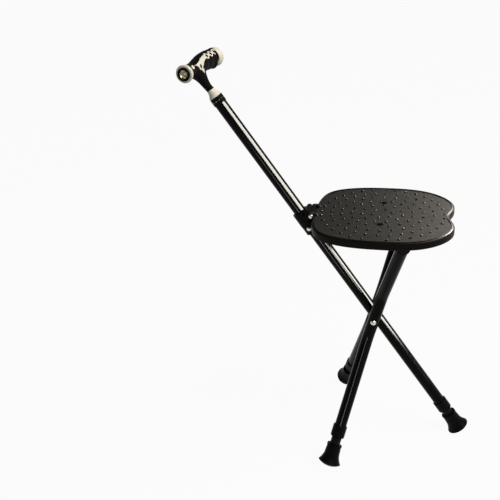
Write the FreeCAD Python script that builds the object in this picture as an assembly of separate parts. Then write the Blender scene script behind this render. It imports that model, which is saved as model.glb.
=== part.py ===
"""Walking stick seat, unfolded: a cane whose two bent legs and sliding sleeve open a small seat.

Millimetres, +Z up, ground at Z = 0. +X runs from the handle's side to the seat's free end and
-Y is the sitter's left. The pole and the legs cross at the scissor bolt.
"""
import FreeCAD, Part
import math
import os
from FreeCAD import Placement, Rotation, Vector

# Driving sizes: stance. The seat's height is that of its rear edge, and it falls towards its free end
seat_height = 477.1
pole_tilt = 32.3
leg_tilt = 17.0
seat_slope = 1.86

# Driving sizes: linkage, measured from the scissor bolt
leg_reach = 197.0
hinge_along = 235.0
hinge_offset = 20.0
fold_angle = 43.3

# Driving sizes: tubes
tube_r = 11.0
tube_wall = 1.2
inner_tube_r = 9.5
inner_tube_wall = 1.2
leg_offset = 24.0
upper_bend_height = 53.0
upper_spread = 23.4
lower_bend_depth = 39.6
lower_spread = 26.6
bend_r = 50.0

# Driving sizes: feet and height adjustment, measured up from each foot's tip
foot_dome_r = 35.0
foot_flat = 0.4
foot_rim_r = 21.2
foot_waist_r = 14.6
foot_waist_height = 23.0
foot_neck_r = 13.4
foot_lip_r = 14.2
foot_lip = 3.5
foot_height = 43.0
foot_sole = 12.0
washer_thickness = 1.5
washer_gap = 0.1
pole_ferrule_low = 53.8
leg_ferrule_low = 57.6
ferrule_length = 24.0
ferrule_r = 13.2
ferrule_chamfer = 2.0
ferrule_seat = 4.0
tube_play = 0.12
button_height = 192.0
button_r = 3.1
button_play = 0.3
button_proud = 3.2
button_flange_r = 4.2
button_flange = 1.2
flange_play = 0.05
button_travel = 4.6
hole_pitch = 25.0
hole_count = 5
inner_overrun = 16.0
spring_thickness = 0.6
spring_width = 7.0
spring_arm = 34.0

# Driving sizes: seat board, measured from its rear edge and down from its top
seat_length = 243.3
seat_width = 237.4
seat_edge_depth = 14.0
seat_plate = 6.0
seat_wall = 4.5
seat_top_round = 4.0
seat_bottom_round = 1.5
outline_stations = 48
dish_inset = 5.0
dish_depth = 1.2
notch_depth = 8.9
rear_edge_gap = 4.8
cross_depth = 24.1
screw_back = 119.0
screw_side = 46.7
screw_r = 2.5
screw_head_r = 6.0
screw_head_sink = 1.0
screw_slot = 0.5
screw_slot_depth = 1.0
rib_side = 62.0
rib_thickness = 2.5
rib_front = 128.0
rib_rise = 2.0

# Driving sizes: sleeve, hinge and stop
sleeve_low = 203.0
sleeve_high = 247.6
sleeve_r = 14.6
sleeve_play = 0.55
sleeve_band_r = 15.0
sleeve_band = 27.0
ear_side = 15.0
ear_r = 6.0
saddle_r = 5.5
lug_gap = 0.3
lug_thickness = 7.0
lug_r = 5.8
lug_flat = 8.5
lug_reach = 24.0
lug_foot = 2.0
ear_clearance = 0.8
hinge_pin_r = 2.5
hinge_play = 0.08
stop_along = 214.4
stop_slot_play = 0.8
stop_gap = 0.2
small_head_r = 4.3
small_head = 3.4
small_nut_flat = 8.0
small_nut = 4.0
head_room = 0.5
thread_end = 1.5

# Driving sizes: scissor bolt
scissor_r = 3.0
scissor_play = 0.05
spacer_r = 6.5
scissor_head_r = 5.2
scissor_head = 3.8
scissor_nut_flat = 10.0
scissor_nut = 5.0
scissor_washer_r = 6.0
scissor_washer = 1.0

# Driving sizes: cross tube, bracket and knuckles under the seat
cross_r = 8.0
cross_wall = 1.5
cross_play = 0.08
cross_overhang = 1.0
cross_cap = 3.0
cross_cap_plug = 8.0
bracket_sheet = 2.5
bracket_rear = 96.0
bracket_side = 58.0
loop_inner = 33.0
loop_outer = 57.0
knuckle_r = 11.2
knuckle_width = 26.0
knuckle_plug = 22.0
knuckle_fit = 0.1

# Driving sizes: handle, in a frame on the pole's axis with X towards the torch
collar_r = 12.0
collar_height = 14.0
collar_dots = 12
collar_dot_r = 1.0
collar_dot_proud = 0.35
skirt_base = 501.6
skirt_rim = 3.8
skirt_height = 14.5
skirt_r = 11.3
skirt_cone_r = 10.4
skirt_hollow = 0.9
skirt_wall = 0.4
post_r = 5.0
bush_depth = 45.0
handle_rise = 59.6
handle_yaw = -5.7
handle_slope = 3.7
post_gap = 9.6
neck_r = 6.9
inlay_proud = 0.25
inlay_sink = 1.5
ring_r = 6.0
ring_pitch = 16.4
ring_first = -69.7
ring_high = 6.5
diamond_half = 4.2
band_half = 2.7
torch_tube_r = 9.0
torch_tube_wall = 1.0
bore_fit = 0.1
grip_end = -79.0
grip_front = 36.5
bezel_length = 7.5
bezel_r = 15.4
bezel_back_r = 14.2
torch_head_r = 11.5
torch_head_proud = 2.4
reflector_r = 8.6
reflector_depth = 7.0
reflector_wall = 0.8
lens_thickness = 1.2
led_r = 2.4
board_thickness = 1.6
cell_r = 7.2
cell_length = 50.0
cell_tip_r = 2.6
cell_tip = 1.0
end_cap_length = 11.0
end_cap_r = 17.3
end_cap_small_r = 13.6
end_cap_rim = 3.0
cap_recess = 4.0
cap_gap = 0.4
cap_knob_r = 9.6
cap_knob_length = 11.0
cap_round = 2.0
cap_shank_r = 7.6
cap_shank = 6.0
torch_button_at = 27.6
torch_button_high = 1.2
torch_button_r = 3.8
torch_button_proud = 1.0
torch_button_travel = 1.2
torch_button_play = 0.15
torch_button_depth = 2.4
torch_button_round = 0.8

# The rest pose's places follow from the stance and the linkage
Y_AXIS = Vector(0, 1, 0)
Z_AXIS = Vector(0, 0, 1)
ORIGIN = Vector(0, 0, 0)


def cosd(angle):
    return math.cos(math.radians(angle))


def sind(angle):
    return math.sin(math.radians(angle))


pivot_height = seat_height - cross_depth - leg_reach * cosd(leg_tilt)
PIVOT = Vector(0, 0, pivot_height)
POLE = Placement(PIVOT, Rotation(Y_AXIS, -pole_tilt))
LEGS = Placement(PIVOT, Rotation(Y_AXIS, leg_tilt))
HINGE = POLE.multVec(Vector(hinge_offset, 0, hinge_along))
CROSS = LEGS.multVec(Vector(0, 0, leg_reach))
SEAT = Placement(Vector(HINGE.x + rear_edge_gap, 0, seat_height), Rotation(Y_AXIS, seat_slope))

foot_centre_height = foot_dome_r - foot_flat
pole_tip_depth = (pivot_height - foot_centre_height) / cosd(pole_tilt) + foot_dome_r
leg_foot_depth = (pivot_height - foot_centre_height) / cosd(leg_tilt)
leg_tip_run = (leg_foot_depth - lower_bend_depth) / cosd(lower_spread) + foot_dome_r
tube_bore_r = tube_r - tube_wall
inner_bore_r = inner_tube_r - inner_tube_wall
handle_along = skirt_base + handle_rise
knuckle_side = leg_offset + (leg_reach - upper_bend_height) * math.tan(math.radians(upper_spread))

POLE_FOOT = POLE.multiply(Placement(Vector(0, 0, -pole_tip_depth), Rotation()))


def leg_foot(side):
    """Frame at a leg foot's tip, with Z up the lower leg. side is -1 for left and 1 for right."""
    tip = Vector(0, side * (leg_offset + leg_tip_run * sind(lower_spread)),
                 -lower_bend_depth - leg_tip_run * cosd(lower_spread))
    return LEGS.multiply(Placement(tip, Rotation(Vector(1, 0, 0), side * lower_spread)))


def moved(shape, place):
    """Copy a shape into a frame."""
    copy = shape.copy()
    copy.Placement = place.multiply(copy.Placement)
    return copy


def polygon_face(points):
    return Part.Face(Part.makePolygon(points + [points[0]]))


def lathe(profile):
    """Solid of revolution about Z from (radius, height) corners."""
    return polygon_face([Vector(r, 0, z) for r, z in profile]).revolve(ORIGIN, Z_AXIS, 360)


def rod(radius, low, high, axis=Z_AXIS, at=ORIGIN):
    """Round rod from low to high along an axis through a point."""
    return Part.makeCylinder(radius, high - low, at + axis * low, axis)


def box(low, high):
    size = Vector(*high) - Vector(*low)
    return Part.makeBox(size.x, size.y, size.z, Vector(*low))


def dome(radius, height, at, axis):
    """Shallow round bolt head that stands on a point."""
    sphere_r = (radius ** 2 + height ** 2) / (2 * height)
    ball = Part.makeSphere(sphere_r, at + axis * (height - sphere_r))
    return ball.common(rod(radius + 1, 0, height + 1, axis, at))


def hexagon(flat, low, high, axis, at):
    """Hexagonal nut blank about an axis."""
    corner = flat / 2 / cosd(30)
    ring = [Vector(corner * cosd(60 * i), corner * sind(60 * i), low) for i in range(6)]
    blank = polygon_face(ring).extrude(Vector(0, 0, high - low))
    return moved(blank, Placement(at, Rotation(Z_AXIS, axis)))


def rounded_path(points, radius):
    """Wire of straight runs joined by tangent arcs."""
    edges = []
    start = points[0]
    for before, corner, after in zip(points, points[1:], points[2:]):
        back = (before - corner).normalize()
        ahead = (after - corner).normalize()
        half = back.getAngle(ahead) / 2
        reach = radius / math.tan(half)
        middle = (back + ahead).normalize() * (radius / math.sin(half) - radius)
        edges.append(Part.LineSegment(start, corner + back * reach).toShape())
        edges.append(Part.Arc(corner + back * reach, corner + middle, corner + ahead * reach).toShape())
        start = corner + ahead * reach
    edges.append(Part.LineSegment(start, points[-1]).toShape())
    return Part.Wire(edges)


def oval(centre, first, second):
    """Smooth closed curve about a centre through the ends of two half axes."""
    ring = [centre + first * cosd(30 * i) + second * sind(30 * i) for i in range(12)]
    curve = Part.BSplineCurve()
    curve.interpolate(Points=ring, PeriodicFlag=True)
    return Part.Wire(curve.toShape())


def swept_rod(points, radius, arc_r):
    path = rounded_path(points, arc_r)
    section = Part.Wire(Part.makeCircle(radius, points[0], points[1] - points[0]))
    return path.makePipeShell([section], True, False)


nodes = {}


def keep(name, shape, place=Placement()):
    """Store one named piece in the design frame."""
    nodes[name] = moved(shape, place)


def foot_pieces(prefix, place, ferrule_low, button_side):
    """Ferrule, inner tube, foot, washer, snap button and V spring in a tip frame.

    ferrule_low is the height of the ferrule's lower end, and button_side is the direction
    along Y in which the button stands out.
    """
    face_y = Vector(0, button_side, 0)
    at_button = Vector(0, 0, button_height)

    ferrule = lathe([
        (tube_r, ferrule_low + ferrule_length), (tube_r, ferrule_low + ferrule_seat),
        (inner_tube_r + tube_play, ferrule_low + ferrule_seat), (inner_tube_r + tube_play, ferrule_low),
        (ferrule_r - ferrule_chamfer, ferrule_low), (ferrule_r, ferrule_low + ferrule_chamfer),
        (ferrule_r, ferrule_low + ferrule_length - ferrule_chamfer / 2),
        (ferrule_r - ferrule_chamfer / 2, ferrule_low + ferrule_length)])
    keep(prefix + "_ferrule", ferrule, place)

    rim_height = foot_dome_r - math.sqrt(foot_dome_r ** 2 - foot_rim_r ** 2)
    dome_middle_r = foot_rim_r / 2
    dome_middle = Vector(dome_middle_r, 0, foot_dome_r - math.sqrt(foot_dome_r ** 2 - dome_middle_r ** 2))
    rim = Vector(foot_rim_r, 0, rim_height)
    waist = Vector(foot_waist_r, 0, foot_waist_height)
    neck = Vector(foot_neck_r, 0, foot_height - foot_lip)
    flare = Vector((foot_rim_r + foot_waist_r) / 2 - 1, 0, (rim_height + foot_waist_height) / 2)
    corners = [neck, Vector(foot_lip_r, 0, foot_height - foot_lip), Vector(foot_lip_r, 0, foot_height),
               Vector(inner_tube_r, 0, foot_height), Vector(inner_tube_r, 0, foot_sole),
               Vector(0, 0, foot_sole), ORIGIN]
    outline = [Part.Arc(ORIGIN, dome_middle, rim).toShape(), Part.Arc(rim, flare, waist).toShape(),
               Part.LineSegment(waist, neck).toShape()]
    outline += [Part.LineSegment(a, b).toShape() for a, b in zip(corners, corners[1:])]
    foot = Part.Face(Part.Wire(outline)).revolve(ORIGIN, Z_AXIS, 360)
    placed_foot = moved(foot, place)
    around = placed_foot.BoundBox
    below_ground = box((around.XMin - 1, around.YMin - 1, around.ZMin - 1),
                       (around.XMax + 1, around.YMax + 1, 0))
    keep(prefix + "_rubber_foot", placed_foot.cut(below_ground))

    washer_top = foot_sole + washer_thickness
    keep(prefix + "_foot_washer", rod(inner_tube_r - washer_gap, foot_sole, washer_top), place)

    inner_high = button_height + inner_overrun
    inner = rod(inner_tube_r, washer_top, inner_high).cut(rod(inner_bore_r, washer_top, inner_high))
    button_hole = rod(button_r + button_play / 2, inner_bore_r - 1, tube_r + 1, face_y, at_button)
    keep(prefix + "_inner_tube", inner.cut(button_hole), place)

    flange_top = math.sqrt(inner_bore_r ** 2 - button_flange_r ** 2) - flange_play
    flange_at = flange_top - button_flange
    shank = rod(button_r, flange_at, tube_r + button_proud, face_y, at_button)
    top_edges = [e for e in shank.Edges if abs(e.CenterOfMass.y) > tube_r + button_proud - 0.1]
    shank = shank.makeFillet(button_r / 3, top_edges)
    flange = rod(button_flange_r, flange_at, flange_top, face_y, at_button)
    keep(prefix + "_snap_button", shank.fuse(flange).removeSplitter(), place)

    low = button_height - spring_width / 2
    bend = button_height + spring_arm
    strip = [(flange_at, low), (flange_at, button_height + spring_width / 2), (spring_thickness, bend),
             (-spring_thickness, bend), (-inner_bore_r, low), (spring_thickness - inner_bore_r, low),
             (0, bend - spring_thickness * 3), (flange_at - spring_thickness, button_height + 3),
             (flange_at - spring_thickness, low)]
    corners = [Vector(-spring_width / 2, button_side * y, z) for y, z in strip]
    spring = polygon_face(corners).extrude(Vector(spring_width, 0, 0))
    keep(prefix + "_snap_spring", spring.common(rod(inner_bore_r, low - 1, bend + 1)), place)


def adjustment_holes(face_y):
    """Row of snap button holes in an outer tube, in a tip frame."""
    holes = [rod(button_r + button_play, tube_bore_r - 1, tube_r + 1, face_y,
                 Vector(0, 0, button_height - hole_pitch * i)) for i in range(hole_count)]
    return Part.makeCompound(holes)


def pole_pieces():
    """Main pole, its top collar and its pivot and stop bolts."""
    low = pole_ferrule_low + ferrule_seat - pole_tip_depth
    pole = rod(tube_r, low, skirt_base).cut(rod(tube_bore_r, low, skirt_base))
    pole = pole.cut(rod(scissor_r, -tube_r - 1, tube_r + 1, Y_AXIS))
    pole = pole.cut(rod(hinge_pin_r, -tube_r - 1, tube_r + 1, Y_AXIS, Vector(0, 0, stop_along)))
    holes = moved(adjustment_holes(Y_AXIS), Placement(Vector(0, 0, -pole_tip_depth), Rotation()))
    keep("main_pole", pole.cut(holes), POLE)
    foot_pieces("pole", POLE_FOOT, pole_ferrule_low, 1)

    collar_low = skirt_base - collar_height
    collar = rod(collar_r, collar_low, skirt_base).cut(rod(tube_r, collar_low, skirt_base))
    for i in range(collar_dots):
        turn = 360.0 * i / collar_dots
        sink = collar_r + collar_dot_proud - collar_dot_r
        centre = Vector(sink * cosd(turn), sink * sind(turn), skirt_base - collar_height / 2)
        dot = Part.makeSphere(collar_dot_r, centre).cut(rod(tube_r, collar_low, skirt_base))
        collar = collar.fuse(dot)
    keep("top_collar", collar, POLE)

    bush = rod(tube_bore_r, skirt_base - bush_depth, skirt_base)
    keep("stem_bush", bush.cut(rod(post_r, skirt_base - bush_depth, skirt_base)), POLE)

    outer = leg_offset + tube_r
    under_head = outer + scissor_play
    nut_face = under_head + scissor_washer
    bolt_end = nut_face + scissor_nut + thread_end
    bolt = rod(scissor_r, -under_head, bolt_end, Y_AXIS)
    bolt = bolt.fuse(dome(scissor_head_r, scissor_head, Vector(0, -under_head, 0), -Y_AXIS))
    keep("scissor_bolt", bolt.removeSplitter(), POLE)
    washer = rod(scissor_washer_r, under_head, nut_face, Y_AXIS)
    nut = hexagon(scissor_nut_flat, 0, scissor_nut, Y_AXIS, Vector(0, nut_face, 0))
    keep("scissor_nut", washer.fuse(nut).cut(rod(scissor_r, 0, bolt_end, Y_AXIS)), POLE)

    spacers = []
    for side in (-1, 1):
        face = Vector(0, side, 0)
        spacer = rod(spacer_r, tube_r - 2, leg_offset - tube_r - scissor_play, face)
        spacer = spacer.cut(rod(tube_r, -spacer_r - 1, spacer_r + 1))
        spacers.append(spacer.cut(rod(scissor_r, 0, leg_offset, face)))
    keep("pivot_spacers", Part.makeCompound(spacers), POLE)

    at_stop = Vector(0, 0, stop_along)
    head_face = sleeve_band_r + stop_gap
    stop = rod(hinge_pin_r, -head_face, head_face + small_nut + thread_end, Y_AXIS, at_stop)
    stop = stop.fuse(dome(small_head_r, small_head, at_stop - Y_AXIS * head_face, -Y_AXIS))
    keep("stop_bolt", stop.removeSplitter(), POLE)
    nut = hexagon(small_nut_flat, 0, small_nut, Y_AXIS, at_stop + Y_AXIS * head_face)
    keep("stop_nut", nut.cut(rod(hinge_pin_r, 0, head_face + small_nut + 1, Y_AXIS, at_stop)), POLE)


def leg_pieces(side, prefix):
    """One bent leg tube with its top knuckle, ferrule and foot."""
    place = leg_foot(side)
    face = Vector(0, -side, 0)
    to_leg = LEGS.inverse().multiply(place)
    tube_low = to_leg.multVec(Vector(0, 0, leg_ferrule_low + ferrule_seat))
    upper = Vector(0, side * leg_offset, upper_bend_height)
    lower = Vector(0, side * leg_offset, -lower_bend_depth)
    top = Vector(0, side * knuckle_side, leg_reach)
    points = [tube_low, lower, upper, top]
    leg = swept_rod(points, tube_r, bend_r).cut(swept_rod(points, tube_bore_r, bend_r))
    at_cross = Vector(0, 0, leg_reach)
    cross_half = knuckle_side + knuckle_width
    leg = leg.cut(rod(knuckle_r, -cross_half, cross_half, Y_AXIS, at_cross))
    leg = leg.cut(rod(scissor_r + scissor_play, 0, leg_offset + 2 * tube_r, Vector(0, side, 0)))
    leg = leg.cut(moved(adjustment_holes(face), to_leg))
    keep(prefix + "_leg_tube", max(leg.Solids, key=lambda s: s.Volume), LEGS)

    centre = top
    up_leg = (top - upper).normalize()
    knuckle = rod(knuckle_r, -knuckle_width / 2, knuckle_width / 2, Y_AXIS, centre)
    plug = rod(tube_bore_r - knuckle_fit, -knuckle_plug, 0, up_leg, centre)
    knuckle = knuckle.fuse(plug).cut(rod(cross_r, -knuckle_width, knuckle_width, Y_AXIS, centre))
    keep(prefix + "_leg_knuckle", knuckle.removeSplitter(), LEGS)
    foot_pieces(prefix, place, leg_ferrule_low, -side)


def cross_pieces():
    """Cross tube through both knuckles, with a cap in each end."""
    at_cross = Vector(0, 0, leg_reach)
    half = knuckle_side + knuckle_width / 2 + cross_overhang
    tube = rod(cross_r, -half, half, Y_AXIS, at_cross)
    bore_r = cross_r - cross_wall
    keep("cross_tube", tube.cut(rod(bore_r, -half, half, Y_AXIS, at_cross)), LEGS)
    caps = []
    for side in (-1, 1):
        face = Vector(0, side, 0)
        cap = dome(cross_r, cross_cap, at_cross + face * half, face)
        caps.append(cap.fuse(rod(bore_r, half - cross_cap_plug, half, face, at_cross)).removeSplitter())
    keep("cross_tube_caps", Part.makeCompound(caps), LEGS)


def seat_outline(inset):
    """Closed outline of the seat, rear edge at X = 0 and two lobes in front, drawn in by inset."""
    half_w = seat_width / 2
    front = seat_length
    half = [(0, 0), (1.0, 0.40), (0.06 * front, 0.746), (0.23 * front, 0.943), (0.5 * front, 1.0),
            (0.755 * front, 0.938), (0.925 * front, 0.708), (front - 0.4, 0.389),
            (front - notch_depth * 0.4, 0.18)]
    right = [Vector(x, y * half_w, 0) for x, y in half]
    tip = Vector(front - notch_depth, 0, 0)
    left = [Vector(p.x, -p.y, 0) for p in reversed(right[1:])]
    curve = Part.BSplineCurve()
    curve.interpolate(Points=right + [tip] + left, PeriodicFlag=True)
    if inset == 0:
        return Part.Face(Part.Wire(curve.toShape()))
    ring = []
    for i in range(outline_stations):
        at = curve.FirstParameter + (curve.LastParameter - curve.FirstParameter) * i / outline_stations
        along = curve.tangent(at)[0]
        ring.append(curve.value(at) + Vector(along.y, -along.x, 0) * inset)
    inner = Part.BSplineCurve()
    inner.interpolate(Points=ring, PeriodicFlag=True)
    return Part.Face(Part.Wire(inner.toShape()))


def seat_pieces():
    """Seat board with its lugs, bracket, screws and hinge bolt."""
    board = seat_outline(0).extrude(Vector(0, 0, -seat_edge_depth))
    top_edges = [e for e in board.Edges if e.BoundBox.ZMin > -0.1]
    board = board.makeFillet(seat_top_round, top_edges)
    bottom_edges = [e for e in board.Edges if e.BoundBox.ZMax < 0.1 - seat_edge_depth]
    board = board.makeFillet(seat_bottom_round, bottom_edges)
    dish = seat_outline(dish_inset).extrude(Vector(0, 0, -dish_depth))
    pocket = seat_outline(seat_wall).extrude(Vector(0, 0, -seat_edge_depth))
    pocket.translate(Vector(0, 0, -seat_plate))
    for side in (-1, 1):
        low_y = side * rib_side - rib_thickness / 2
        pocket = pocket.cut(box((0, low_y, -seat_edge_depth + rib_rise), (rib_front, low_y + rib_thickness, 1)))
    head_top = -dish_depth - screw_head_sink
    head_low = head_top - (screw_head_r - screw_r)
    screw_low = -seat_plate - bracket_sheet - small_nut - thread_end
    sink = lathe([(0, screw_low - 1), (screw_r, screw_low - 1), (screw_r, head_low),
                  (screw_head_r, head_top), (screw_head_r, 1), (0, 1)])
    sinks = [moved(sink, Placement(Vector(screw_back, side * screw_side, 0), Rotation())) for side in (-1, 1)]
    hinge = SEAT.inverse().multVec(HINGE)
    lug_side = ear_side + lug_gap + lug_thickness
    lugs = []
    for side in (-1, 1):
        near = side * (ear_side + lug_gap)
        far = near + side * lug_thickness
        low_y, high_y = min(near, far), max(near, far)
        lug = rod(lug_r, low_y, high_y, Y_AXIS, Vector(hinge.x, 0, hinge.z))
        flat_end = hinge.x + lug_flat
        arm = [Vector(hinge.x, low_y, hinge.z + lug_r), Vector(flat_end, low_y, hinge.z + lug_r),
               Vector(flat_end + lug_r, low_y, -seat_plate / 2), Vector(lug_reach, low_y, -seat_plate / 2),
               Vector(lug_reach, low_y, -seat_plate - lug_foot), Vector(hinge.x, low_y, hinge.z - lug_r)]
        lug = lug.fuse(polygon_face(arm).extrude(Vector(0, lug_thickness, 0))).removeSplitter()
        pocket = pocket.cut(lug)
        lugs.append(lug)
    window = box((-seat_wall, -ear_side - lug_gap, -seat_edge_depth - 1),
                 (seat_wall + 3, ear_side + lug_gap, -seat_plate))
    recess = box((-seat_wall, -ear_side - lug_gap, -seat_edge_depth - 1),
                 (ear_r + ear_clearance - rear_edge_gap, ear_side + lug_gap, 1))
    room_r = small_nut_flat / 2 / cosd(30) + head_room
    room_end = lug_side + small_nut + thread_end + head_room
    rooms = [rod(room_r, lug_side, room_end, Vector(0, side, 0), hinge) for side in (-1, 1)]
    pin_hole = rod(hinge_pin_r, -room_end, room_end, Y_AXIS, hinge)
    board = board.cut(dish).cut(sinks).cut(rooms).fuse(lugs)
    board = board.cut(recess).cut(window).cut(pin_hole).cut(pocket)

    cross = SEAT.inverse().multVec(CROSS)
    sheet_top = -seat_plate
    sheet_low = sheet_top - bracket_sheet
    loop_r = cross_r + cross_play + bracket_sheet
    bracket = box((bracket_rear, -bracket_side, sheet_low), (cross.x, bracket_side, sheet_top))
    for side in (-1, 1):
        low_y, high_y = sorted((side * loop_inner, side * loop_outer))
        loop = rod(loop_r, low_y, high_y, Y_AXIS, Vector(cross.x, 0, cross.z))
        web = box((cross.x - loop_r, low_y, cross.z), (cross.x, high_y, sheet_top))
        bracket = bracket.fuse(loop.fuse(web))
    bracket = bracket.common(box((0, -seat_width, cross.z - 2 * loop_r), (seat_length, seat_width, sheet_top)))
    bracket = bracket.cut(rod(cross_r + cross_play, -seat_width, seat_width, Y_AXIS, Vector(cross.x, 0, cross.z)))
    bracket = bracket.cut(sinks)
    screw = lathe([(0, screw_low), (screw_r, screw_low), (screw_r, head_low), (screw_head_r, head_top),
                   (0, head_top)])
    drive = box((-screw_r, -screw_slot, head_top - screw_slot_depth), (screw_r, screw_slot, head_top + 1))
    drive = drive.fuse(box((-screw_slot, -screw_r, head_top - screw_slot_depth),
                           (screw_slot, screw_r, head_top + 1)))
    screws = []
    nuts = []
    for side, hole in zip((-1, 1), sinks):
        at = Vector(screw_back, side * screw_side, 0)
        screws.append(moved(screw.cut(drive), Placement(at, Rotation())))
        nut = hexagon(small_nut_flat, 0, small_nut, -Z_AXIS, at + Vector(0, 0, sheet_low))
        nuts.append(nut.cut(hole))
    keep("seat_board", board, SEAT)
    keep("seat_bracket", bracket.removeSplitter(), SEAT)
    keep("seat_screws", Part.makeCompound(screws), SEAT)
    keep("seat_screw_nuts", Part.makeCompound(nuts), SEAT)

    bolt = rod(hinge_pin_r, -lug_side, lug_side + small_nut + thread_end, Y_AXIS, hinge)
    bolt = bolt.fuse(dome(small_head_r, small_head, hinge - Y_AXIS * lug_side, -Y_AXIS))
    keep("hinge_bolt", bolt.removeSplitter(), SEAT)
    nut = hexagon(small_nut_flat, 0, small_nut, Y_AXIS, hinge + Y_AXIS * lug_side)
    keep("hinge_nut", nut.cut(rod(hinge_pin_r, 0, lug_side + small_nut + 1, Y_AXIS, hinge)), SEAT)


def sleeve_piece():
    """Sleeve that slides on the pole, forked over the stop bolt, with ears for the hinge bolt."""
    bore_r = tube_r + sleeve_play
    sleeve = rod(sleeve_r, sleeve_low, sleeve_high)
    sleeve = sleeve.fuse(rod(sleeve_band_r, sleeve_high - sleeve_band, sleeve_high))
    at_hinge = Vector(hinge_offset, 0, hinge_along)
    ears = rod(ear_r, -ear_side, ear_side, Y_AXIS, at_hinge)
    ears = ears.fuse(box((0, -ear_side, hinge_along - ear_r), (hinge_offset, ear_side, hinge_along + ear_r)))
    ears = ears.fuse(rod(saddle_r, -ear_side, ear_side, Y_AXIS, Vector(sleeve_band_r, 0, sleeve_high - saddle_r)))
    sleeve = sleeve.fuse(ears).removeSplitter()
    sleeve = sleeve.cut(rod(bore_r, sleeve_low - 1, sleeve_high + 1))
    slot_half = hinge_pin_r + stop_slot_play
    slot_top = stop_along + hinge_pin_r + stop_gap - slot_half
    across = sleeve_band_r + 1
    slot = box((-slot_half, -across, sleeve_low - 1), (slot_half, across, slot_top))
    slot = slot.fuse(rod(slot_half, -across, across, Y_AXIS, Vector(0, 0, slot_top)))
    sleeve = sleeve.cut(slot)
    sleeve = sleeve.cut(rod(hinge_pin_r + hinge_play, -ear_side - 1, ear_side + 1, Y_AXIS, at_hinge))
    keep("slide_sleeve", sleeve, POLE)


# Grip stations along the handle: place, top, bottom and half width about the handle's axis
GRIP = [(grip_end, 15.8, -11.8, 13.0), (-69.0, 17.6, -13.2, 13.6), (-60.5, 18.4, -15.4, 14.0),
        (-53.0, 18.7, -13.4, 14.0), (-45.0, 18.6, -14.8, 14.0), (-36.5, 18.3, -12.3, 13.8),
        (-28.0, 17.8, -14.2, 13.5), (-19.0, 16.6, -13.0, 13.2), (-8.0, 14.9, -12.6, 12.8),
        (4.0, 13.0, -12.4, 12.6), (14.0, 12.0, -12.4, 12.6), (26.0, 12.4, -12.4, 12.8),
        (grip_front, 13.8, -12.8, 13.4)]

# Neck stations down the post: height, rear and front reach, half width
NECK = [(-9.0, -26.0, 25.0, 11.6), (-14.0, -19.5, 18.0, 10.8), (-19.0, -14.2, 12.6, 9.9),
        (-26.0, -9.9, 9.0, 8.6), (-34.0, -7.6, 7.2, 7.4)]


def grip_body(inset):
    """Grip and neck, with every half width drawn in by inset, in the handle's frame."""
    loops = []
    for x, top, bottom, half in GRIP:
        centre = Vector(x, 0, (top + bottom) / 2)
        loops.append(oval(centre, Y_AXIS * (half - inset), Z_AXIS * ((top - bottom) / 2)))
    body = Part.makeLoft(loops, True, False)
    loops = []
    for z, rear, front, half in NECK:
        centre = Vector((rear + front) / 2, 0, z)
        loops.append(oval(centre, Vector((front - rear) / 2, 0, 0), Y_AXIS * (half - inset)))
    foot = POST_IN_HANDLE.multVec(Vector(0, 0, skirt_base + skirt_height))
    up = POST_IN_HANDLE.Rotation.multVec(Z_AXIS)
    ahead = Y_AXIS.cross(up).normalize()
    foot_r = neck_r - inset / 2
    loops.append(oval(foot, ahead * foot_r, up.cross(ahead) * foot_r))
    neck = Part.makeLoft(loops, True, False)
    return body.fuse(neck)


# The handle's frame: X towards the torch, Z up from the pole, Y to the side with the torch button
HANDLE = POLE.multiply(Placement(Vector(0, 0, handle_along), Rotation(Z_AXIS, handle_yaw - 90))).multiply(
    Placement(ORIGIN, Rotation(Y_AXIS, -handle_slope)))
POST_IN_HANDLE = HANDLE.inverse().multiply(POLE)


def inlay_outline(side):
    """Flat outline of the inlay: three rings on a band that ends in a triangle, as one prism."""
    depth = Vector(0, side * 30, 0)
    lead = [Vector(ring_first + 2 * ring_pitch, 0, ring_high + band_half + 1), Vector(-15, 0, 8.4),
            Vector(-2, 0, 4.8), Vector(19.5, 0, 3.0)]
    under = [Vector(19.5, 0, 2.2), Vector(9.7, 0, -2.0), Vector(4.4, 0, -9.0), Vector(-1, 0, -17.0)]
    back = [Vector(-1, 0, -17.0), Vector(-7.4, 0, -7.4), Vector(-16.5, 0, -0.6),
            Vector(ring_first + 2 * ring_pitch, 0, ring_high - band_half - 1)]
    edges = []
    for run in (lead, under, back):
        curve = Part.BSplineCurve()
        curve.interpolate(run)
        edges.append(curve.toShape())
    edges.append(Part.LineSegment(lead[-1], under[0]).toShape())
    edges.append(Part.LineSegment(back[-1], lead[0]).toShape())
    prism = Part.Face(Part.Wire(Part.__sortEdges__(edges))).extrude(depth)
    y_low, y_high = sorted((0, side * 30))
    band = box((ring_first, y_low, ring_high - band_half),
               (ring_first + 2 * ring_pitch, y_high, ring_high + band_half))
    prism = prism.fuse(band)
    for i in range(3):
        ring = rod(ring_r, 0, 30, Vector(0, side, 0), Vector(ring_first + i * ring_pitch, 0, ring_high))
        prism = prism.fuse(ring)
    return prism.removeSplitter()


def diamond(at_x, at_z, side):
    """Square set on its corner, as a prism."""
    corners = [Vector(at_x - diamond_half, 0, at_z), Vector(at_x, 0, at_z + diamond_half),
               Vector(at_x + diamond_half, 0, at_z), Vector(at_x, 0, at_z - diamond_half)]
    return polygon_face(corners).extrude(Vector(0, side * 30, 0))


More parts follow.
